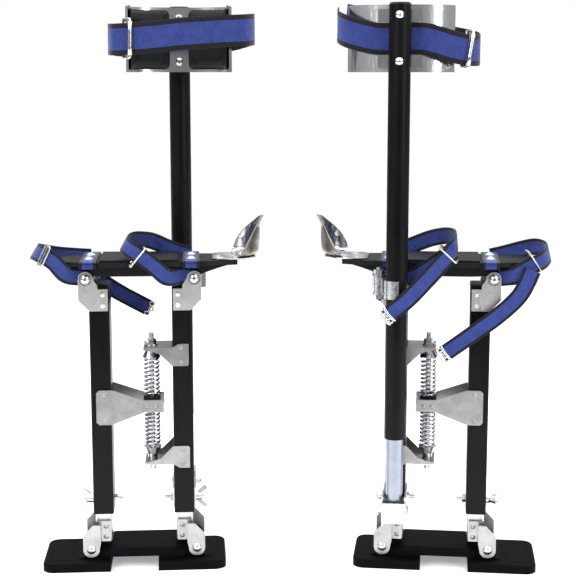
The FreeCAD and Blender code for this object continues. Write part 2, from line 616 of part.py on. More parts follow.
def stilt(name, wing_turns):
    """All nodes of one stilt in its own frame."""
    front_tube, rear_tube = outer_tube(FRONT_LEG_X), outer_tube(REAR_LEG_X)
    return {
        "sole": sole(),
        "sole_pivot_lugs": Part.makeCompound(pivot_lugs()),
        "sole_pivot_bolts": pivot_bolts(FOOT_PIVOT_Z, False),
        "front_inner_tube": inner_tube(FRONT_LEG_X),
        "front_foot_bracket": foot_bracket(FRONT_PIVOT_X, 1),
        "front_outer_tube": drill_lock(front_tube, FRONT_LEG_X),
        "front_top_bracket": top_bracket(FRONT_PIVOT_X, 1),
        "front_wing_bolt": wing_bolt(FRONT_LEG_X, -1, wing_turns[0]),
        "rear_inner_tube": inner_tube(REAR_LEG_X),
        "rear_foot_bracket": foot_bracket(REAR_PIVOT_X, -1),
        "rear_outer_tube": drill_lock(rear_tube, REAR_LEG_X),
        "rear_top_bracket": top_bracket(REAR_PIVOT_X, -1),
        "rear_wing_bolt": wing_bolt(REAR_LEG_X, 1, wing_turns[1]),
        "spring_yoke": spring_yoke(),
        "spring_collar": spring_collar(),
        "spring_arms": Part.makeCompound([spring_arm(UPPER_WEB_Z, 1), spring_arm(LOWER_WEB_Z, -1)]),
        "spring_rod": spring_rod(),
        "spring_upper": spring(YOKE_Z[1], UPPER_CUP_Z[0]),
        "spring_lower": spring(LOWER_CUP_Z[1], YOKE_Z[0]),
        "strut_bracket": strut_bracket(),
        "strut_tube": strut_tube(),
        "mast_bracket": mast_bracket(),
        "mast_tube": mast_tube(),
        "calf_band": calf_band(),
        "calf_pads": calf_pads(),
        "calf_strap": calf_strap(name),
        "foot_plate": foot_plate(),
        "top_pivot_bolts": pivot_bolts(TOP_PIVOT_Z, True),
        "foot_straps": foot_straps(name),
        "heel_cup": heel_cup(),
    }


def main():
    os.makedirs("parts", exist_ok=True)
    for name, wing_turns in (("a", (8, -8)), ("b", (86, 0))):
        x, y, yaw = PLACES[name]
        for node, shape in stilt(name, wing_turns).items():
            shape.rotate(V(0, 0, 0), V(0, 0, 1), yaw)
            shape.translate(V(x, y, 0))
            shape.exportStep(f"parts/{name}_{node}.step")


main()
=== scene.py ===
import json
import math

import bpy
from mathutils import Matrix, Vector

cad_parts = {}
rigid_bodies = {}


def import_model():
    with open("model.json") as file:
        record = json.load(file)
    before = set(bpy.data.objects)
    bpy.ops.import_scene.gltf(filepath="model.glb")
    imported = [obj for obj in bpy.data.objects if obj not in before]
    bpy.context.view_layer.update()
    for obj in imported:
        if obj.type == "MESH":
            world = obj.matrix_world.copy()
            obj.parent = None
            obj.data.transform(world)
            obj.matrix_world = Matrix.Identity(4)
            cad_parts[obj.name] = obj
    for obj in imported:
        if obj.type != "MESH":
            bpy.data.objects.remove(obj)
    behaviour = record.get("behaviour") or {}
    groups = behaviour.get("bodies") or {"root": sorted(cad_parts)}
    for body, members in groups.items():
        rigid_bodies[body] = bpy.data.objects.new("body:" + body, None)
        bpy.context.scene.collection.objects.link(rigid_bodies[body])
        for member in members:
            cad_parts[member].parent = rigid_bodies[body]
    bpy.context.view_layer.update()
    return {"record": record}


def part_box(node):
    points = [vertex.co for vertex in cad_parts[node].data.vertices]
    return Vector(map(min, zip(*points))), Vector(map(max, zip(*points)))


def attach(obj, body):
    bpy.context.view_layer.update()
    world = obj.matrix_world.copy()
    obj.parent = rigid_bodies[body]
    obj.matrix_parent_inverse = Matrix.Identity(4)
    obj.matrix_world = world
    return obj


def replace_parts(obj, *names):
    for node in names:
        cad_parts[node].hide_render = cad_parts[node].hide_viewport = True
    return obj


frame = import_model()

# A stilt's own frame has its toe towards -X and its calf mast towards +Y, in millimetres until place().
STILTS = {"a": (-234.4, -5.0, 4.0), "b": (231.6, -5.0, 173.5)}
DECK_TOP = 459.0
UP = (0, 0, 1)
ALONG = (1, 0, 0)

# Straps: width, width of the blue stripe between the black edges, and thickness.
FOOT_STRAP_W = 25.0
FOOT_STRIPE = 16.5
CALF_STRAP_W = 44.0
CALF_STRIPE = 30.0
STRAP_T = 1.7

# Wire hardware on the straps.
WIRE_R = 1.3
CALF_WIRE_R = 1.7
CALF_ROLLER_R = 2.9
LUG_EXTRA = 0.9
BUCKLE_CORNER = 2.4
EYELET_R = 3.1
EYELET_WIRE_R = 1.4
CLIP_BAR_R = 2.0

# Domed screws: radius, dome height over radius, and height of the head's rim.
SCREW_R = 5.0
SCREW_DOME = 0.55
RIM_LIFT = 1.0

# Scales of the webbing's wave textures. A wave repeats every 0.314 / scale metres: ribs 3.2 mm, threads 2.2 mm.
RIB_SCALE = 99.475
THREAD_SCALE = 144.69

# Calf band: its oval's centre and radii, its wall, and its arms beyond the oval.
BAND_CENTRE = (74.0, 10.0)
BAND_RADII = (76.0, 42.0)
BAND_WALL = 2.2
BAND_ARM = 36.0
BAND_TAPER = 8.0

# Calf pads: start and end round the oval in radians, half width, corner radius and distances off the band.
PAD_START = 0.19
PAD_STOP = 2.02
PAD_HALF_W = 64.0
PAD_CORNER = 7.0
PAD_BACK = 0.3
PAD_EDGE = 1.2
PAD_RISE = 6.2
SEAM_R = 0.45

# Heel cups: heights of the scoop's foot, bend and tip, the bend's radius, and depth of the pressed dents.
CUP_FOOT_Z = 461
CUP_BEND_Z = 470
CUP_TIP_Z = 520
CUP_BEND_R = 8.6
CUP_DENT = 0.7
TONGUE_Z = 460.4
TONGUE_X = (118, 182)
RIVET_Z = 461.2

# Sheet thickness of scoop and tongue, in metres.
CUP_SHEET = 0.0014
TONGUE_SHEET = 0.0013


def place(stilt):
    """The matrix from a stilt's own millimetres to the frame's metres."""
    x, y, yaw = STILTS[stilt]
    turn = Matrix.Rotation(math.radians(yaw), 4, "Z")
    return Matrix.Translation((x / 1000, y / 1000, 0)) @ turn @ Matrix.Scale(0.001, 4)


# ---- materials ---------------------------------------------------------------

def material(name, color, metallic=0.0, roughness=0.5, **sockets):
    m = bpy.data.materials.new(name)
    m.use_nodes = True
    shader = m.node_tree.nodes["Principled BSDF"]
    shader.inputs["Base Color"].default_value = (*color, 1)
    shader.inputs["Metallic"].default_value = metallic
    shader.inputs["Roughness"].default_value = roughness
    for key, value in sockets.items():
        shader.inputs[key.replace("_", " ")].default_value = value
    return m


def node(m, kind, **inputs):
    n = m.node_tree.nodes.new(kind)
    for key, value in inputs.items():
        n.inputs[key.replace("_", " ")].default_value = value
    return n


def link(m, source, target):
    m.node_tree.links.new(source, target)


def coords(m, scale=(1, 1, 1), uv=None):
    """Object coordinates, or a UV map's, stretched by scale."""
    if uv:
        source = m.node_tree.nodes.new("ShaderNodeUVMap")
        source.uv_map = uv
        out = source.outputs["UV"]
    else:
        out = m.node_tree.nodes.new("ShaderNodeTexCoord").outputs["Object"]
    stretch = m.node_tree.nodes.new("ShaderNodeMapping")
    stretch.inputs["Scale"].default_value = scale
    link(m, out, stretch.inputs["Vector"])
    return stretch.outputs["Vector"]


def noise(m, vector, scale, detail=4.0, rough=0.55):
    n = node(m, "ShaderNodeTexNoise", Scale=scale, Detail=detail, Roughness=rough)
    link(m, vector, n.inputs["Vector"])
    return n.outputs["Fac"]


def ramp(m, fac, low, high, color_low, color_high):
    n = m.node_tree.nodes.new("ShaderNodeValToRGB")
    n.color_ramp.elements[0].position = low
    n.color_ramp.elements[1].position = high
    n.color_ramp.elements[0].color = (*color_low, 1)
    n.color_ramp.elements[1].color = (*color_high, 1)
    link(m, fac, n.inputs["Fac"])
    return n.outputs["Color"]


def grey(m, fac, low, high, dark, light):
    return ramp(m, fac, low, high, (dark,) * 3, (light,) * 3)


def shader_of(m):
    return m.node_tree.nodes["Principled BSDF"]


def tint(m, fac, low, high, dark, light):
    """Base colour from dark to light as fac goes from low to high."""
    link(m, ramp(m, fac, low, high, dark, light), shader_of(m).inputs["Base Color"])


def wear(m, fac, low, high, smooth, rough):
    """Roughness from smooth to rough as fac goes from low to high."""
    link(m, grey(m, fac, low, high, smooth, rough), shader_of(m).inputs["Roughness"])


def bump(m, height, strength, distance, below=None):
    n = node(m, "ShaderNodeBump", Strength=strength, Distance=distance)
    link(m, height, n.inputs["Height"])
    if below:
        link(m, below, n.inputs["Normal"])
    link(m, n.outputs["Normal"], shader_of(m).inputs["Normal"])
    return n.outputs["Normal"]


def powder_coat():
    """Satin black coat with fine drawing lines down the tube and faint scuffs."""
    m = material("leg_black", (0.004, 0.004, 0.004), roughness=0.34, Specular_IOR_Level=0.16)
    lines = noise(m, coords(m, (1, 1, 0.012)), 900, 2)
    scuffs = noise(m, coords(m, (1, 1, 0.25)), 38, 8, 0.7)
    tint(m, scuffs, 0.35, 0.8, (0.002, 0.002, 0.002), (0.005, 0.005, 0.005))
    wear(m, scuffs, 0.3, 0.8, 0.30, 0.46)
    fine = bump(m, noise(m, coords(m), 2600, 2), 0.12, 0.0002)
    bump(m, lines, 0.18, 0.0004, fine)
    return m


def satin_alloy(name, dark, light):
    """Tumbled sheet aluminium: cloudy tone, fine grain, a few handling marks."""
    m = material(name, light, metallic=1.0, roughness=0.34)
    cloud = noise(m, coords(m), 55, 5)
    grain = noise(m, coords(m, (1, 1, 0.06)), 1500, 3)
    marks = noise(m, coords(m, (1, 0.3, 1)), 420, 10, 0.8)
    tint(m, cloud, 0.3, 0.75, dark, light)
    wear(m, marks, 0.3, 0.75, 0.24, 0.46)
    bump(m, grain, 0.10, 0.0002, bump(m, cloud, 0.08, 0.0006))
    return m


def polished_alloy(name, dark, light, rough):
    """Bright pressed aluminium whose surface waves a little and carries rolling lines."""
    m = material(name, light, metallic=1.0, roughness=rough)
    waves = noise(m, coords(m), 26, 3)
    lines = noise(m, coords(m, (1, 1, 0.05)), 1100, 3)
    tint(m, waves, 0.3, 0.75, dark, light)
    wear(m, lines, 0.35, 0.75, rough * 0.7, rough * 1.6)
    bump(m, lines, 0.05, 0.0002, bump(m, waves, 0.10, 0.002))
    return m


def zinc_plate():
    m = material("zinc", (0.72, 0.75, 0.78), metallic=1.0, roughness=0.20)
    cloud = noise(m, coords(m), 240, 5)
    tint(m, cloud, 0.3, 0.75, (0.60, 0.62, 0.64), (0.78, 0.80, 0.83))
    wear(m, cloud, 0.3, 0.75, 0.20, 0.32)
    bump(m, cloud, 0.05, 0.0002)
    return m


def moulded_rubber():
    """Black moulded rubber: fine sparkle texture, dusty patches."""
    m = material("sole_rubber", (0.003, 0.003, 0.004), roughness=0.68, Specular_IOR_Level=0.05)
    dust = noise(m, coords(m), 34, 8, 0.7)
    tint(m, dust, 0.35, 0.8, (0.0015, 0.0016, 0.002), (0.004, 0.0045, 0.006))
    wear(m, dust, 0.3, 0.8, 0.52, 0.72)
    bump(m, noise(m, coords(m), 1500, 3), 0.35, 0.0004)
    return m


def deck_plastic():
    """Black platform coat with the fine cross ribs of its anti-slip mat."""
    m = material("deck_black", (0.006, 0.006, 0.007), roughness=0.5, Specular_IOR_Level=0.20)
    dust = noise(m, coords(m), 45, 8, 0.65)
    tint(m, dust, 0.35, 0.8, (0.004, 0.004, 0.005), (0.013, 0.014, 0.015))
    ribs = node(m, "ShaderNodeTexWave", Scale=150.0, Distortion=0.0)
    ribs.bands_direction = "X"
    link(m, coords(m), ribs.inputs["Vector"])
    bump(m, noise(m, coords(m), 900, 3), 0.2, 0.0003, bump(m, ribs.outputs["Fac"], 0.25, 0.0005))
    return m


def webbing(name, dark, light):
    """Woven strap: ribs across the width, fine threads along it, soft sheen and a little fading."""
    m = material(name, dark, roughness=0.72, Sheen_Weight=0.25, Sheen_Roughness=0.4, Specular_IOR_Level=0.25)
    uv = coords(m, uv="strap")
    across = node(m, "ShaderNodeTexWave", Scale=RIB_SCALE, Distortion=0.6, Detail=1.0)
    across.bands_direction = "Y"
    along = node(m, "ShaderNodeTexWave", Scale=THREAD_SCALE, Distortion=0.8, Detail=1.0)
    along.bands_direction = "X"
    for wave in (across, along):
        link(m, uv, wave.inputs["Vector"])
    both = m.node_tree.nodes.new("ShaderNodeMath")
    both.operation = "MULTIPLY"
    link(m, across.outputs["Fac"], both.inputs[0])
    link(m, along.outputs["Fac"], both.inputs[1])
    tone = m.node_tree.nodes.new("ShaderNodeMath")
    tone.operation = "MULTIPLY_ADD"
    link(m, both.outputs[0], tone.inputs[0])
    tone.inputs[1].default_value = 0.45
    link(m, noise(m, uv, 70, 6, 0.7), tone.inputs[2])
    tint(m, tone.outputs[0], 0.25, 1.0, dark, light)
    bump(m, both.outputs[0], 0.75, 0.0006)
    return m


def vinyl():
    """Black pebbled vinyl over foam."""
    m = material("pad_black", (0.005, 0.005, 0.005), roughness=0.46, Specular_IOR_Level=0.26)
    cells = node(m, "ShaderNodeTexVoronoi", Scale=620.0)
    link(m, coords(m), cells.inputs["Vector"])
    worn = noise(m, coords(m), 40, 6, 0.7)
    tint(m, worn, 0.35, 0.8, (0.003, 0.003, 0.003), (0.009, 0.009, 0.009))
    wear(m, worn, 0.3, 0.8, 0.38, 0.58)
    bump(m, cells.outputs["Distance"], 0.3, 0.0005, bump(m, worn, 0.2, 0.002))
    return m


MATERIALS = {
    "leg_black": powder_coat(),
    "alloy": satin_alloy("alloy", (0.58, 0.57, 0.56), (0.76, 0.76, 0.77)),
    "polished": polished_alloy("polished", (0.84, 0.83, 0.82), (0.94, 0.95, 0.97), 0.17),
    "zinc": zinc_plate(),
    "sole_rubber": moulded_rubber(),
    "deck_black": deck_plastic(),
    "pad_black": vinyl(),
    "webbing": webbing("webbing", (0.015, 0.026, 0.13), (0.042, 0.074, 0.33)),
}
BLACK_WEB = webbing("web_edge", (0.003, 0.003, 0.004), (0.009, 0.009, 0.012))
NICKEL = material("nickel", (0.74, 0.71, 0.66), metallic=1.0, roughness=0.18)
wear(NICKEL, noise(NICKEL, coords(NICKEL), 300, 4), 0.3, 0.75, 0.10, 0.28)
SCOOP = polished_alloy("scoop", (0.44, 0.44, 0.45), (0.62, 0.63, 0.65), 0.16)
SATIN_BACK = satin_alloy("satin_back", (0.24, 0.215, 0.19), (0.40, 0.37, 0.33))
STEEL = material("dark_steel", (0.30, 0.28, 0.26), metallic=1.0, roughness=0.30)
tint(STEEL, noise(STEEL, coords(STEEL), 420, 5), 0.35, 0.7, (0.16, 0.15, 0.14), (0.50, 0.47, 0.44))
THREAD = material("thread", (0.010, 0.012, 0.05), roughness=0.8)
tint(THREAD, noise(THREAD, coords(THREAD), 2500, 2), 0.3, 0.7, (0.004, 0.004, 0.005), (0.016, 0.016, 0.02))

# Pieces that get copies of the alloy darker or lighter than their slot's, by name without the stilt's prefix:
# painted light on the top brackets, painted shade on the foot brackets, spring yoke and arms, and painted shade
# with a painted blue cast of light on the strut.
ALLOY_LIGHT_AND_SHADE = {
    "strut_tube": satin_alloy("strut_alloy_painted_blue_shade", (0.33, 0.36, 0.43), (0.42, 0.45, 0.53)),
    "spring_yoke": satin_alloy("yoke_alloy_painted_shade", (0.31, 0.30, 0.29), (0.44, 0.44, 0.43)),
    "front_foot_bracket": satin_alloy("foot_alloy_painted_shade", (0.38, 0.37, 0.36), (0.54, 0.54, 0.54)),
}
ALLOY_LIGHT_AND_SHADE["front_top_bracket"] = satin_alloy("top_alloy_painted_light", (0.80, 0.78, 0.75), (0.97, 0.95, 0.91))
ALLOY_LIGHT_AND_SHADE["rear_top_bracket"] = ALLOY_LIGHT_AND_SHADE["front_top_bracket"]
ALLOY_LIGHT_AND_SHADE["rear_foot_bracket"] = ALLOY_LIGHT_AND_SHADE["front_foot_bracket"]
ALLOY_LIGHT_AND_SHADE["spring_arms"] = ALLOY_LIGHT_AND_SHADE["spring_yoke"]

# Each piece in the table above wears its copy of the alloy with painted light or painted shade; every other
# piece keeps its slot's material.
for part in frame["record"]["subparts"]:
    o = bpy.data.objects[part["node"]]
    for look in o.material_slots:
        look.material = ALLOY_LIGHT_AND_SHADE.get(part["node"][2:], MATERIALS[part["material_slot"]])


# ---- mesh helpers --------------------------------------------------------------

def mesh_piece(name, stilt, verts, faces, materials, body, slots_of=None, uvs=None):
    """A mesh object from points in a stilt's own millimetres, riding on one of its bodies."""
    mesh = bpy.data.meshes.new(name)
    matrix = place(stilt)
    mesh.from_pydata([matrix @ Vector(v) for v in verts], [], faces)
    for m in materials:
        mesh.materials.append(m)
    for i, polygon in enumerate(mesh.polygons):
        polygon.use_smooth = True
        polygon.material_index = slots_of[i] if slots_of else 0
    if uvs:
        layer = mesh.uv_layers.new(name="strap")
        for loop in mesh.loops:
            layer.data[loop.index].uv = uvs[loop.vertex_index]
    mesh.validate()
    o = bpy.data.objects.new(name, mesh)
    bpy.context.scene.collection.objects.link(o)
    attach(o, f"{stilt}_{body}")
    return o


def catmull_rom(a, b, c, d, t):
    """One number on the smooth curve from b to c, whose neighbours are a and d."""
    square = 2 * a - 5 * b + 4 * c - d
    cube = 3 * b - a - 3 * c + d
    return 0.5 * (2 * b + (c - a) * t + square * t * t + cube * t ** 3)


def end_caps(size, count):
    """The two end faces of a swept piece whose rings have size points, count in all."""
    return [tuple(range(size))[::-1], tuple(range(count - size, count))]


def smooth_line(points, steps=10):
    """A smooth line through the points, each a tuple of numbers of any length."""
    line = []
    n = len(points)
    for i in range(n - 1):
        before, after = points[max(i - 1, 0)], points[min(i + 2, n - 1)]
        for k in range(steps):
            numbers = zip(before, points[i], points[i + 1], after)
            line.append(tuple(catmull_rom(a, b, c, d, k / steps) for a, b, c, d in numbers))
    return line + [tuple(points[-1])]


def strap_section(width, stripe):
    """A strap's outline across its width: thin edges, a groove at each side of the stripe, a faint crown."""
    half, inner = width / 2, stripe / 2
    one_side = [(half, 0.25), (half - 0.6, 0.8), (inner + 0.25, 1.0), (inner, 0.92), (inner / 2, 1.0)]
    columns = [(-u, h) for u, h in one_side] + [(0, 1.02)] + one_side[::-1]
    t = STRAP_T / 2
    return [(u, t * h) for u, h in columns] + [(u, -t * h) for u, h in reversed(columns)]


def strap(name, stilt, stations, width, stripe, body):
    """A woven strap along stations, each a centre point and the way its width points."""
    line = smooth_line([tuple(c) + tuple(a) for c, a in stations])
    points = [Vector(p[:3]) for p in line]
    ring = strap_section(width, stripe)
    verts, uvs, faces, slots = [], [], [], []
    run = 0.0
    for i, p in enumerate(points):
        ahead = (points[min(i + 1, len(points) - 1)] - points[max(i - 1, 0)]).normalized()
        across = Vector(line[i][3:])
        across = (across - ahead * across.dot(ahead)).normalized()
        out = ahead.cross(across)
        run += (p - points[i - 1]).length if i else 0.0
        for u, h in ring:
            verts.append(p + across * u + out * h)
            uvs.append((u / 1000, run / 1000))
    size = len(ring)
    for i in range(len(points) - 1):
        for k in range(size):
            a, b = i * size + k, i * size + (k + 1) % size
            faces.append((a, b, b + size, a + size))
            middle = (ring[k][0] + ring[(k + 1) % size][0]) / 2
            slots.append(0 if abs(middle) < stripe / 2 else 1)
    faces += end_caps(size, len(verts))
    slots += [1, 1]
    looks = [MATERIALS["webbing"], BLACK_WEB]
    return mesh_piece(name, stilt, verts, faces, looks, body, slots, uvs)


def tube_piece(name, stilt, path, radius, body, mat, closed=False, sides=12):
    """A round wire along a path of points."""
    path = [Vector(p) for p in path]
    n = len(path)
    verts, faces = [], []
    side = None
    for i, p in enumerate(path):
        before = path[i - 1] if closed or i else path[0]
        after = path[(i + 1) % n] if closed or i < n - 1 else path[-1]
        ahead = (after - before).normalized()
        if side is None:
            side = ahead.orthogonal()
        side = (side - ahead * side.dot(ahead)).normalized()
        other = ahead.cross(side)
        for k in range(sides):
            angle = 2 * math.pi * k / sides
            verts.append(p + side * (radius * math.cos(angle)) + other * (radius * math.sin(angle)))
    rows = n if closed else n - 1
    for i in range(rows):
        for k in range(sides):
            step = (k + 1) % sides
            here, there = i * sides, (i + 1) % n * sides
            faces.append((here + k, here + step, there + step, there + k))
    if not closed:
        faces += end_caps(sides, len(verts))
    return mesh_piece(name, stilt, verts, faces, [mat], body)


def frame_path(centre, across, along, wide, long, corner, per_corner=5):
    """A rounded rectangle's points about a centre."""
    centre, across, along = Vector(centre), Vector(across).normalized(), Vector(along).normalized()
    points = []
    for quarter, (sx, sy) in enumerate(((1, 1), (-1, 1), (-1, -1), (1, -1))):
        for k in range(per_corner + 1):
            angle = math.pi / 2 * (quarter + k / per_corner)
            u = sx * (wide / 2 - corner) + corner * math.cos(angle)
            v = sy * (long / 2 - corner) + corner * math.sin(angle)
            points.append(centre + across * u + along * v)
    return points


def buckle(name, stilt, top, bottom, depth, body, wire=WIRE_R, roller=0.0):
    """Wire buckle gripping a strap.

    Its front rod runs from top to bottom and its back rod is depth away; between them are a middle bar and,
    at each end, a lug. A roller radius puts a sleeve on the front rod.
    """
    top, bottom, depth = Vector(top), Vector(bottom), Vector(depth)
    centre = (top + bottom) / 2 + depth / 2
    loop = frame_path(centre, top - bottom, depth, (top - bottom).length, depth.length, BUCKLE_CORNER)
    tube_piece(f"{stilt}_{name}_frame", stilt, loop, wire, body, NICKEL, closed=True)
    middle = [top.lerp(bottom, t) + depth * 0.5 for t in (0, 0.25, 0.5, 0.75, 1)]
    tube_piece(f"{stilt}_{name}_bar", stilt, middle, wire, body, STEEL)
    if roller:
        sleeve = [top.lerp(bottom, t) for t in (0.06, 0.3, 0.5, 0.7, 0.94)]
        tube_piece(f"{stilt}_{name}_roller", stilt, sleeve, roller, body, NICKEL, sides=20)
    for end, start in (("top", top), ("foot", bottom)):
        inner = start.lerp(bottom if end == "top" else top, 0.02)
        lug = [inner + depth * t for t in (0.16, 0.3, 0.5, 0.7, 0.84)]
        tube_piece(f"{stilt}_{name}_{end}_lug", stilt, lug, wire + LUG_EXTRA, body, STEEL)


def strap_tip(name, stilt, end, across, ahead, width, body):
    """Three eyelets in a curved row at the end of a strap, with two clip bars about them on stilt b."""
    end, across = Vector(end), Vector(across)
    ahead = Vector(ahead).normalized()
    across = (across - ahead * across.dot(ahead)).normalized()
    turns = [2 * math.pi * k / 24 for k in range(24)]
    for i in (-1, 0, 1):
        middle = end + across * (width * 0.33 * i) + ahead * (0.6 - 2.6 * abs(i))
        ring = [middle + across * (EYELET_R * math.cos(a)) + ahead * (EYELET_R * math.sin(a)) for a in turns]
        eyelet = f"{stilt}_{name}_eyelet_{i + 1}"
        tube_piece(eyelet, stilt, ring, EYELET_WIRE_R, body, NICKEL, closed=True)
    if stilt == "b":
        stops = (-1, -0.6, -0.2, 0.2, 0.6, 1)
        for i, back in enumerate((-5.5, 3.4)):
            bar = [end + across * (width / 2 * t) + ahead * (back - 1.6 * t * t) for t in stops]
            tube_piece(f"{stilt}_{name}_clip_{i}", stilt, bar, CLIP_BAR_R, body, NICKEL)


def turned(name, stilt, centre, profile, body, mat, sides=28):
    """An upright turned piece in the given material: profile is (radius, height)."""
    centre, axis = Vector(centre), Vector(UP)
    side = axis.orthogonal().normalized()
    other = axis.cross(side)
    verts, faces = [], []
    for r, h in profile:
        for k in range(sides):
            angle = 2 * math.pi * k / sides
            verts.append(centre + axis * h + side * (r * math.cos(angle)) + other * (r * math.sin(angle)))
    for i in range(len(profile) - 1):
        for k in range(sides):
            a, b = i * sides + k, i * sides + (k + 1) % sides
            faces.append((a, b, b + sides, a + sides))
    faces += end_caps(sides, len(verts))
    return mesh_piece(name, stilt, verts, faces, [mat], body)


def screw(name, stilt, centre, body):
    """Upright domed screw with a round recess, on a cup washer."""
    r = SCREW_R
    washer = [(r + 2.6, 0), (r + 2.4, 0.7), (r + 0.4, 1.6), (r, 1.2)]
    turned(f"{stilt}_{name}_cup", stilt, centre, washer, body, MATERIALS["zinc"])
    top = RIM_LIFT + r * SCREW_DOME
    angles = [math.pi / 2 * k / 8 for k in range(8)]
    dome = [(r * math.cos(a), RIM_LIFT + r * SCREW_DOME * math.sin(a)) for a in angles]
    profile = [(r, 0.4)] + dome + [(r * 0.22, top), (r * 0.16, top - 1.4)]
    turned(f"{stilt}_{name}_head", stilt, centre, profile, body, MATERIALS["zinc"])


# ---- straps --------------------------------------------------------------------

# The straps' routes are those of the CAD model: a centre point and the way the width points at each station.
TOE_LOOPS = {
    "a": [
        ((-69.5, -34.6, 436), UP),
        ((-77, -34.7, 437), UP),
        ((-84, -38.5, 438.5), UP),
        ((-91, -46, 442.5), (0.1, 0, 1)),
        ((-98, -48, 450), (0.25, 0, 1)),
        ((-107, -46.5, 460), (0.4, 0, 1)),
        ((-118, -43, 467), (0.48, 0, 1)),
        ((-130, -32, 471.5), (0.55, 0, 1)),
        ((-137.5, -12, 472), (0.6, 0, 1)),
        ((-135, 8, 468.5), (0.5, 0, 1)),
        ((-122, 31, 462.5), (0.35, 0, 1)),
        ((-106, 44.5, 458), (0.15, 0, 1)),
        ((-86, 53, 455), UP),
        ((-62, 56, 453), UP),
    ],
    "b": [
        ((-69.5, 34.6, 436), UP),
        ((-77, 34.7, 436.5), UP),
        ((-84, 38.5, 438), UP),
        ((-93, 45, 441), (0.1, 0, 1)),
        ((-112, 45, 453), (0.2, 0, 1)),
        ((-130, 38, 461), (0.25, 0, 1)),
        ((-140, 22, 467), (0.25, 0, 1)),
        ((-143, 0, 470), (0.25, 0, 1)),
        ((-139, -22, 472), (0.25, 0, 1)),
        ((-125, -40, 472), (0.2, 0, 1)),
        ((-104, -50, 466), UP),
        ((-82, -55, 459), UP),
        ((-62, -56, 454), UP),
    ],
}
ANKLE_LOOPS = {
    "a": [
        ((86.5, -34.6, 436), UP),
        ((73, -34.8, 437), UP),
        ((62, -47, 436.5), (-0.1, 0, 1)),
        ((52, -56, 439), (-0.2, 0, 1)),
        ((40, -58, 450), (-0.3, 0, 1)),
        ((25, -58.5, 462.5), (-0.3, 0, 1)),
        ((9, -57.5, 474), UP),
        ((-2.5, -49, 481), (0.3, 0, 1)),
        ((-7.5, -34, 484.5), (0.5, 0, 1)),
        ((-5.5, -14, 486.5), (0.6, 0, 1)),
        ((2, 3, 486.5), (0.6, 0, 1)),
        ((13, 20, 484), (0.5, 0, 1)),
        ((25, 39, 480), (0.4, 0, 1)),
        ((38, 54.5, 473.5), (0.1, 0, 1)),
        ((52, 54.4, 467), UP),
        ((66, 53.6, 461.5), UP),
        ((86, 51, 456), UP),
    ],
    "b": [
        ((86.5, 34.6, 436), UP),
        ((73, 34.8, 438), UP),
        ((61, 47, 436.5), (-0.1, 0, 1)),
        ((47, 56, 440), (-0.2, 0, 1)),
        ((20, 57.5, 458), (-0.3, 0, 1)),
        ((5, 56.5, 470), (-0.1, 0, 1)),
        ((-5, 50, 480), UP),
        ((-10, 33, 486), (0.1, 0, 1)),
        ((-9, 10, 489), (0.1, 0, 1)),
        ((-2, -12, 489.5), (0.1, 0, 1)),
        ((10, -33, 487), (0.1, 0, 1)),
        ((28, -50, 481), UP),
        ((48, -57, 472.5), UP),
        ((68, -56, 464), UP),
        ((86, -52, 456), UP),
    ],
}
TAILS = {
    "a": [
        [((-96, 46, 446), (0.3, 0, 1)), ((-62, 48, 428), (0.45, 0, 1)),
         ((-24, 49, 402), (0.5, 0, 1)), ((26, 50, 374), (0.5, 0, 1))],
    ],
    "b": [
        [((-117, 50, 450), (1, 0, 0.5)), ((-101, 52, 415), (1, 0, 0.6)), ((-72, 52, 385), (1, 0, 1)),
         ((-34, 50, 355), (0.8, 0, 1)), ((8, 48, 323), (0.7, 0, 1))],
        [((-4, 60, 476), (1, 0, 0.9)), ((24, 76, 446), (1, 0, 0.9)),
         ((56, 93, 413), (1, 0, 0.9)), ((88, 94.5, 386), (1, 0, 0.9))],
    ],
}
# The calf straps stand upright all the way round, so each station is only a centre point.
CALF_LOOPS = {
    "a": [(-25, -14, 773), (-17, -40, 772), (8, -50, 773), (44, -55, 776), (84, -58, 780), (130, -57, 783),
          (166, -45, 785), (181, -16, 787), (176, 16, 786), (157, 42, 781), (125, 53, 775), (105, 54.2, 773),
          (74, 54.2, 773), (43, 54.2, 773), (24, 51, 773), (0, 40, 771), (-18, 17, 772)],
    "b": [(164, -2, 798), (163, 22, 791), (150, 41, 784), (126, 51, 777), (105, 54.2, 773), (74, 54.2, 773),
          (43, 54.2, 773), (24, 52, 769), (0, 44, 762), (-20, 30, 758), (-36, 6, 758), (-34, -24, 762),
          (-12, -42, 768), (40, -52, 778), (90, -54, 790), (130, -47, 799), (155, -27, 803)],
}
# Each buckle: the top and the bottom of its front rod, and the way from there to its back rod.
FOOT_BUCKLES = {
    "a": {"toe_buckle": ((-110.7, -49, 481.6), (-123.9, -46, 454.4), (-7, 8, 3)),
          "ankle_buckle": ((23.8, -61.5, 480.2), (2.2, -60.5, 453.9), (-3, 12, 1))},
    "b": {"toe_buckle": ((-115, 47, 470.5), (-131, 41.5, 446), (8, -8, 7)),
          "ankle_buckle": ((15, 66, 482), (-9, 63, 460), (-3, -12, 2))},
}
CALF_BUCKLES = {
    "a": ((7.6, -55, 800), (6.6, -55, 747), (-10, 15, 0)),
    "b": ((-28, 34, 784), (-20, 38, 733), (9, -14, 2)),
}


def foot_strap(name, stilt, stations):
    """A narrow strap that rides on the platform."""
    return strap(f"{stilt}_{name}", stilt, stations, FOOT_STRAP_W, FOOT_STRIPE, "platform")


def strap_patch(stilt, name, x, edge):
    """Webbing across the deck, turned down over both edges and held by two screws on cup washers."""
    z = DECK_TOP + 0.2
    section = [(-edge - 2, z - 9), (-edge - 1.6, z - 1), (-edge + 2, z + 1)]
    section += [(edge - 2, z + 1), (edge + 1.6, z - 1), (edge + 2, z - 9)]
    wrap = [((x, y, height), ALONG) for y, height in section]
    strap(f"{stilt}_{name}_patch", stilt, wrap, FOOT_STRAP_W - 1, FOOT_STRIPE - 1, "platform")
    for i, y in enumerate((-24, 20)):
        screw(f"{name}_screw_{i}", stilt, (x, y, z + 1.8), "platform")


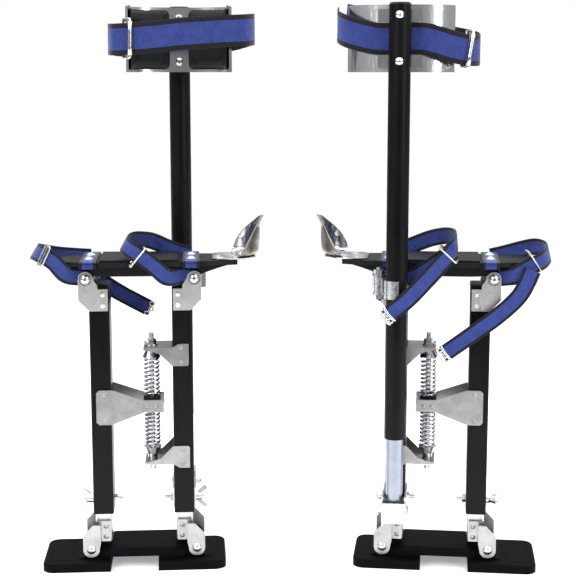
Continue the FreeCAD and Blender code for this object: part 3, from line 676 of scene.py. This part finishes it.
def foot_straps(stilt):
    """Toe and ankle loops, the patches that hold them, their free ends and their buckles."""
    toe_strap = foot_strap("toe_strap", stilt, TOE_LOOPS[stilt])
    foot_strap("ankle_strap", stilt, ANKLE_LOOPS[stilt])
    strap_patch(stilt, "toe", -59, 51.5)
    strap_patch(stilt, "ankle", 88, 47)
    for i, tail in enumerate(TAILS[stilt]):
        foot_strap(f"strap_tail_{i}", stilt, tail)
        end, before = Vector(tail[-1][0]), Vector(tail[-2][0])
        strap_tip(f"tail_tip_{i}", stilt, end, tail[-1][1], end - before, FOOT_STRAP_W, "platform")
    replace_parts(toe_strap, f"{stilt}_foot_straps")
    for name, (top, bottom, depth) in FOOT_BUCKLES[stilt].items():
        buckle(name, stilt, top, bottom, depth, "platform")


def calf_strap(stilt):
    """The wide strap round the band, with a roller buckle."""
    stations = [(p, UP) for p in CALF_LOOPS[stilt]]
    made = strap(f"{stilt}_calf_webbing", stilt, stations, CALF_STRAP_W, CALF_STRIPE, "mast")
    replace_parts(made, f"{stilt}_calf_strap")
    top, bottom, depth = CALF_BUCKLES[stilt]
    buckle("calf_buckle", stilt, top, bottom, depth, "mast", CALF_WIRE_R, CALF_ROLLER_R)


# ---- calf pads -----------------------------------------------------------------

def calf_pad(stilt, side):
    """One crowned foam pad inside the band, with rounded corners and a stitched border."""
    low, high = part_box(f"{stilt}_calf_pads")[0][2] * 1000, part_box(f"{stilt}_calf_pads")[1][2] * 1000
    centre_x, centre_y = BAND_CENTRE
    rows, cols = 26, 54
    verts, faces = [], []

    def point(u, v, depth):
        """u runs along the band from the mast, v up, both in -1..1; depth is how far off the band."""
        run = PAD_START + (PAD_STOP - PAD_START) * (u + 1) / 2
        angle = math.pi / 2 - side * min(run, math.pi / 2)
        a = BAND_RADII[0] - BAND_WALL - depth
        b = BAND_RADII[1] - BAND_WALL - depth
        x = centre_x + a * math.cos(angle)
        y = centre_y + b * math.sin(angle)
        past = run - math.pi / 2
        if past > 0:
            x = centre_x + side * (a - BAND_TAPER * past / (PAD_STOP - math.pi / 2))
            y = centre_y - BAND_ARM * past / (PAD_STOP - math.pi / 2)
        z = (low + high) / 2 + v * (high - low) / 2
        return (x, y, z)

    def squared(i, j):
        """Grid place with its corners drawn in to a radius."""
        half_u, half_v = PAD_HALF_W, (high - low) / 2
        u, v = (2 * i / cols - 1) * half_u, (2 * j / rows - 1) * half_v
        du, dv = abs(u) - half_u + PAD_CORNER, abs(v) - half_v + PAD_CORNER
        if du > 0 and dv > 0:
            pull = max(du, dv) / math.hypot(du, dv)
            u = math.copysign(half_u - PAD_CORNER + du * pull, u)
            v = math.copysign(half_v - PAD_CORNER + dv * pull, v)
        return u / half_u, v / half_v

    def crown(i, j):
        """Height of the foam's face: steep at the edge, flat in the middle, with a groove along the seam."""
        edge_u, edge_v = 1 - abs(2 * i / cols - 1), 1 - abs(2 * j / rows - 1)
        edge = min(edge_u * 32, edge_v * 37)
        rise = 1 - math.exp(-edge / 3.2)
        seam = math.exp(-((edge - 6.0) / 1.0) ** 2) * 0.16
        return PAD_EDGE + PAD_RISE * max(0.0, rise - seam)

    for layer in (0, 1):
        for i in range(cols + 1):
            for j in range(rows + 1):
                u, v = squared(i, j)
                verts.append(point(u, v, crown(i, j) if layer else PAD_BACK))
    size = (cols + 1) * (rows + 1)

    def at(i, j, layer):
        return layer * size + i * (rows + 1) + j

    def add_face(corners):
        """A face turned outwards on either hand."""
        faces.append(corners if side > 0 else corners[::-1])

    for i in range(cols):
        for j in range(rows):
            quad = (at(i, j, 0), at(i + 1, j, 0), at(i + 1, j + 1, 0), at(i, j + 1, 0))
            add_face(quad)
            add_face(tuple(k + size for k in quad)[::-1])
    border = [(i, 0) for i in range(cols)] + [(cols, j) for j in range(rows)]
    border += [(i, rows) for i in range(cols, 0, -1)] + [(0, j) for j in range(rows, 0, -1)]
    for k, (i, j) in enumerate(border):
        i2, j2 = border[(k + 1) % len(border)]
        add_face((at(i, j, 0), at(i, j, 1), at(i2, j2, 1), at(i2, j2, 0)))
    hand = "right" if side > 0 else "left"
    vinyl_face = [MATERIALS["pad_black"]]
    pad = mesh_piece(f"{stilt}_calf_pad_{hand}", stilt, verts, faces, vinyl_face, "mast")
    ring = [(i, 2) for i in range(2, cols - 1)] + [(cols - 2, j) for j in range(3, rows - 2)]
    ring += [(i, rows - 2) for i in range(cols - 2, 1, -1)] + [(2, j) for j in range(rows - 3, 2, -1)]
    seam = [point(*squared(i, j), crown(i, j) + 0.15) for i, j in ring]
    seam_name = f"{stilt}_calf_pad_seam_{hand}"
    tube_piece(seam_name, stilt, seam, SEAM_R, "mast", THREAD, closed=True, sides=6)
    return pad


# ---- heel cups -----------------------------------------------------------------

# The scoop's oval at rising heights: height, centre along X, half length and half width.
CUP_LEVELS = [
    (461, 146, 37, 35),
    (467, 147, 40, 37),
    (486, 148, 40, 35),
    (505, 151, 38, 29),
    (520, 161, 34, 19),
]
# The front edge of the scoop's side walls, raked back towards the tip: height and X.
CUP_RIM = [(461, 156), (468, 161), (485, 171), (500, 180), (512, 187), (518, 190), (520, 192.5)]
# The tongue under the scoop: X and half width.
TONGUE_WIDTHS = [(118, 25), (126, 33), (148, 36), (164, 32), (182, 14)]
# The rivets' places along X and Y.
RIVETS = ((131, -14), (131, 14), (146, -17), (146, 17))


def between(table, key):
    """The values in the table's row at key, straight between its rows."""
    for low, high in zip(table, table[1:]):
        if key <= high[0]:
            t = max(0.0, (key - low[0]) / (high[0] - low[0]))
            return [a + (b - a) * t for a, b in zip(low[1:], high[1:])]
    return list(table[-1][1:])


def grid_faces(rows, cols):
    """Quads of a grid whose rows have cols + 1 points each."""
    corners = [i * (cols + 1) + k for i in range(rows - 1) for k in range(cols)]
    return [(p, p + 1, p + cols + 2, p + cols + 1) for p in corners]


def sheet_metal(piece, thickness):
    """Give a piece that is drawn as one surface the thickness of its sheet."""
    sheet = piece.modifiers.new("sheet", "SOLIDIFY")
    sheet.thickness = thickness
    sheet.offset = 0
    return sheet


def heel_scoop(stilt):
    """Pressed scoop whose walls rake back to a tip and whose foot is rounded in.

    The wall on the pair's far side starts further forward than the one on its near side.
    """
    near = -1 if stilt == "a" else 1
    cols = 44
    angles = [math.pi / 2 * (1 - k / 6) for k in range(6)]
    rows = [(CUP_BEND_Z - CUP_BEND_R * math.sin(a), CUP_BEND_R * (1 - math.cos(a))) for a in angles]
    rows += [(CUP_BEND_Z + (CUP_TIP_Z - CUP_BEND_Z) * (k / 26) ** 0.9, 0.0) for k in range(27)]
    verts = []
    for z, inset in rows:
        x, a, b = between(CUP_LEVELS, z)
        rim = between(CUP_RIM, z)[0]
        down = (CUP_TIP_Z - z) / (CUP_TIP_Z - CUP_FOOT_Z)
        ends = []
        for side in (-1, 1):
            reach = rim - (0 if side == near else 8 * down + 9 * math.sin(math.pi * down))
            ends.append(side * math.acos(max(-1.0, min(0.999, (reach - x) / a))))
        for k in range(cols + 1):
            t = k / cols
            angle = ends[0] + (ends[1] - ends[0]) * t
            fade = (1 - abs(2 * t - 1)) * min(1, (z - CUP_FOOT_Z) / 18)
            off = CUP_DENT * math.sin(angle * 5 + z * 0.12) * fade - inset - 0.8
            verts.append((x + (a + off) * math.cos(angle), (b + off) * math.sin(angle), z))
    faces = grid_faces(len(rows), cols)
    looks = [SATIN_BACK, SCOOP]
    scoop = mesh_piece(f"{stilt}_heel_scoop", stilt, verts, faces, looks, "heel")
    sheet_metal(scoop, CUP_SHEET).material_offset = 1
    return scoop


def heel_tongue(stilt):
    """Flat tongue with pressed waves that joins the scoop to the platform."""
    across, along = 40, 40
    start, stop = TONGUE_X
    verts = []
    for i in range(along + 1):
        x = start + (stop - start) * i / along
        half = between(TONGUE_WIDTHS, x)[0]
        for k in range(across + 1):
            v = 2 * k / across - 1
            y = half * v
            fade = min(1.0, (x - start) / 10) * min(1.0, (1 - abs(v)) * 6)
            wave = math.sin(y * 0.62 + 0.7 * math.sin(x * 0.11)) + 0.5 * math.sin(y * 1.3 + x * 0.16 + 1.2)
            verts.append((x, y, TONGUE_Z + 0.75 * fade * wave + 0.4 * fade))
    faces = grid_faces(along + 1, across)
    tongue = mesh_piece(f"{stilt}_heel_tongue", stilt, verts, faces, [SCOOP], "heel")
    sheet_metal(tongue, TONGUE_SHEET)


def heel_cup(stilt):
    """The scoop, its tongue and the four rivets between them."""
    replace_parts(heel_scoop(stilt), f"{stilt}_heel_cup")
    heel_tongue(stilt)
    dome = [(2.6, 0), (2.5, 0.6), (1.8, 1.2), (0.7, 1.5)]
    for i, (x, y) in enumerate(RIVETS):
        turned(f"{stilt}_heel_rivet_{i}", stilt, (x, y, RIVET_Z), dome, "heel", STEEL, sides=18)


for stilt in STILTS:
    heel_cup(stilt)
    foot_straps(stilt)
    calf_strap(stilt)
    pads = [calf_pad(stilt, side) for side in (-1, 1)]
    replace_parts(pads[0], f"{stilt}_calf_pads")


# ---- stage, light, camera --------------------------------------------------------

CAMERA_LENS = 84.1
CAMERA_PLACE = (-0.0044, -1.955, 0.73)
CAMERA_DOWN = 9.2


FLOOR_LEFT, FLOOR_RIGHT = -2.2, 2.2
FLOOR_NEAR, FLOOR_FAR = -1.1, 2.6


def floor():
    """Matte white floor that glows a little, so that it stays close to the backdrop's white."""
    glow = {"Emission_Color": (1, 1, 1, 1), "Emission_Strength": 0.30}
    m = material("floor", (0.93, 0.93, 0.93), roughness=0.7, Specular_IOR_Level=0.2, **glow)
    wear(m, noise(m, coords(m), 3, 2), 0.3, 0.7, 0.66, 0.74)
    mesh = bpy.data.meshes.new("floor")
    near = [(FLOOR_LEFT, FLOOR_NEAR, 0), (FLOOR_RIGHT, FLOOR_NEAR, 0)]
    far = [(FLOOR_RIGHT, FLOOR_FAR, 0), (FLOOR_LEFT, FLOOR_FAR, 0)]
    mesh.from_pydata(near + far, [], [(0, 1, 2, 3)])
    mesh.materials.append(m)
    o = bpy.data.objects.new("floor", mesh)
    bpy.context.scene.collection.objects.link(o)


def area_light(name, location, target, size, watts, color=(1, 1, 1)):
    data = bpy.data.lights.new(name, "AREA")
    data.shape = "RECTANGLE"
    data.size, data.size_y = size
    data.energy = watts
    data.color = color
    o = bpy.data.objects.new(name, data)
    o.location = location
    o.rotation_euler = (Vector(target) - Vector(location)).to_track_quat("-Z", "Y").to_euler()
    bpy.context.scene.collection.objects.link(o)


def room_shade(world):
    """The room's tone by height and side: dim at the horizon, bright overhead, stronger to left and right."""
    direction = node(world, "ShaderNodeSeparateXYZ")
    link(world, node(world, "ShaderNodeTexCoord").outputs["Generated"], direction.inputs[0])
    shade = node(world, "ShaderNodeValToRGB")
    tones = shade.color_ramp
    tones.elements[0].color = (0.20, 0.20, 0.21, 1)
    tones.elements[1].color = (1.35, 1.35, 1.38, 1)
    for at, tone in ((0.50, 0.16), (0.60, 0.34), (0.78, 0.95)):
        tones.elements.new(at).color = (tone, tone, tone * 1.02, 1)
    lift = node(world, "ShaderNodeMath")
    lift.operation = "MULTIPLY_ADD"
    lift.inputs[1].default_value = 0.5
    lift.inputs[2].default_value = 0.5
    link(world, direction.outputs["Z"], lift.inputs[0])
    link(world, lift.outputs[0], shade.inputs["Fac"])
    side = node(world, "ShaderNodeMath")
    side.operation = "ABSOLUTE"
    link(world, direction.outputs["X"], side.inputs[0])
    panels = node(world, "ShaderNodeMapRange", From_Min=0.22, From_Max=0.55, To_Min=1.0, To_Max=1.7)
    panels.interpolation_type = "SMOOTHSTEP"
    link(world, side.outputs[0], panels.inputs["Value"])
    room = node(world, "ShaderNodeBackground")
    link(world, shade.outputs["Color"], room.inputs["Color"])
    link(world, panels.outputs["Result"], room.inputs["Strength"])
    return room.outputs["Background"]


def studio():
    """White backdrop for the camera, a graded room for everything else, and three area lights."""
    world = bpy.data.worlds.new("studio")
    bpy.context.scene.world = world
    world.use_nodes = True
    backdrop = world.node_tree.nodes["Background"]
    backdrop.inputs["Color"].default_value = (1, 1, 1, 1)
    backdrop.inputs["Strength"].default_value = 1.0
    seen = node(world, "ShaderNodeMixShader")
    link(world, node(world, "ShaderNodeLightPath").outputs["Is Camera Ray"], seen.inputs["Fac"])
    link(world, room_shade(world), seen.inputs[1])
    link(world, backdrop.outputs["Background"], seen.inputs[2])
    link(world, seen.outputs["Shader"], world.node_tree.nodes["World Output"].inputs["Surface"])
    area_light("overhead", (0, 0.5, 2.9), (0, 0.4, 0), (3.2, 2.6), 55)
    area_light("key", (-1.9, -2.3, 2.0), (0, 0, 0.4), (0.8, 1.5), 34, (1.0, 0.98, 0.95))
    area_light("fill", (2.3, -1.9, 1.3), (0, 0, 0.4), (0.6, 1.6), 20, (0.93, 0.96, 1.0))


def camera():
    data = bpy.data.cameras.new("camera")
    data.lens = CAMERA_LENS
    data.sensor_width = 36
    o = bpy.data.objects.new("camera", data)
    o.location = CAMERA_PLACE
    o.rotation_euler = (math.radians(90 - CAMERA_DOWN), 0, 0)
    bpy.context.scene.collection.objects.link(o)
    bpy.context.scene.camera = o


floor()
studio()
camera()
bpy.context.scene.view_settings.view_transform = "Standard"
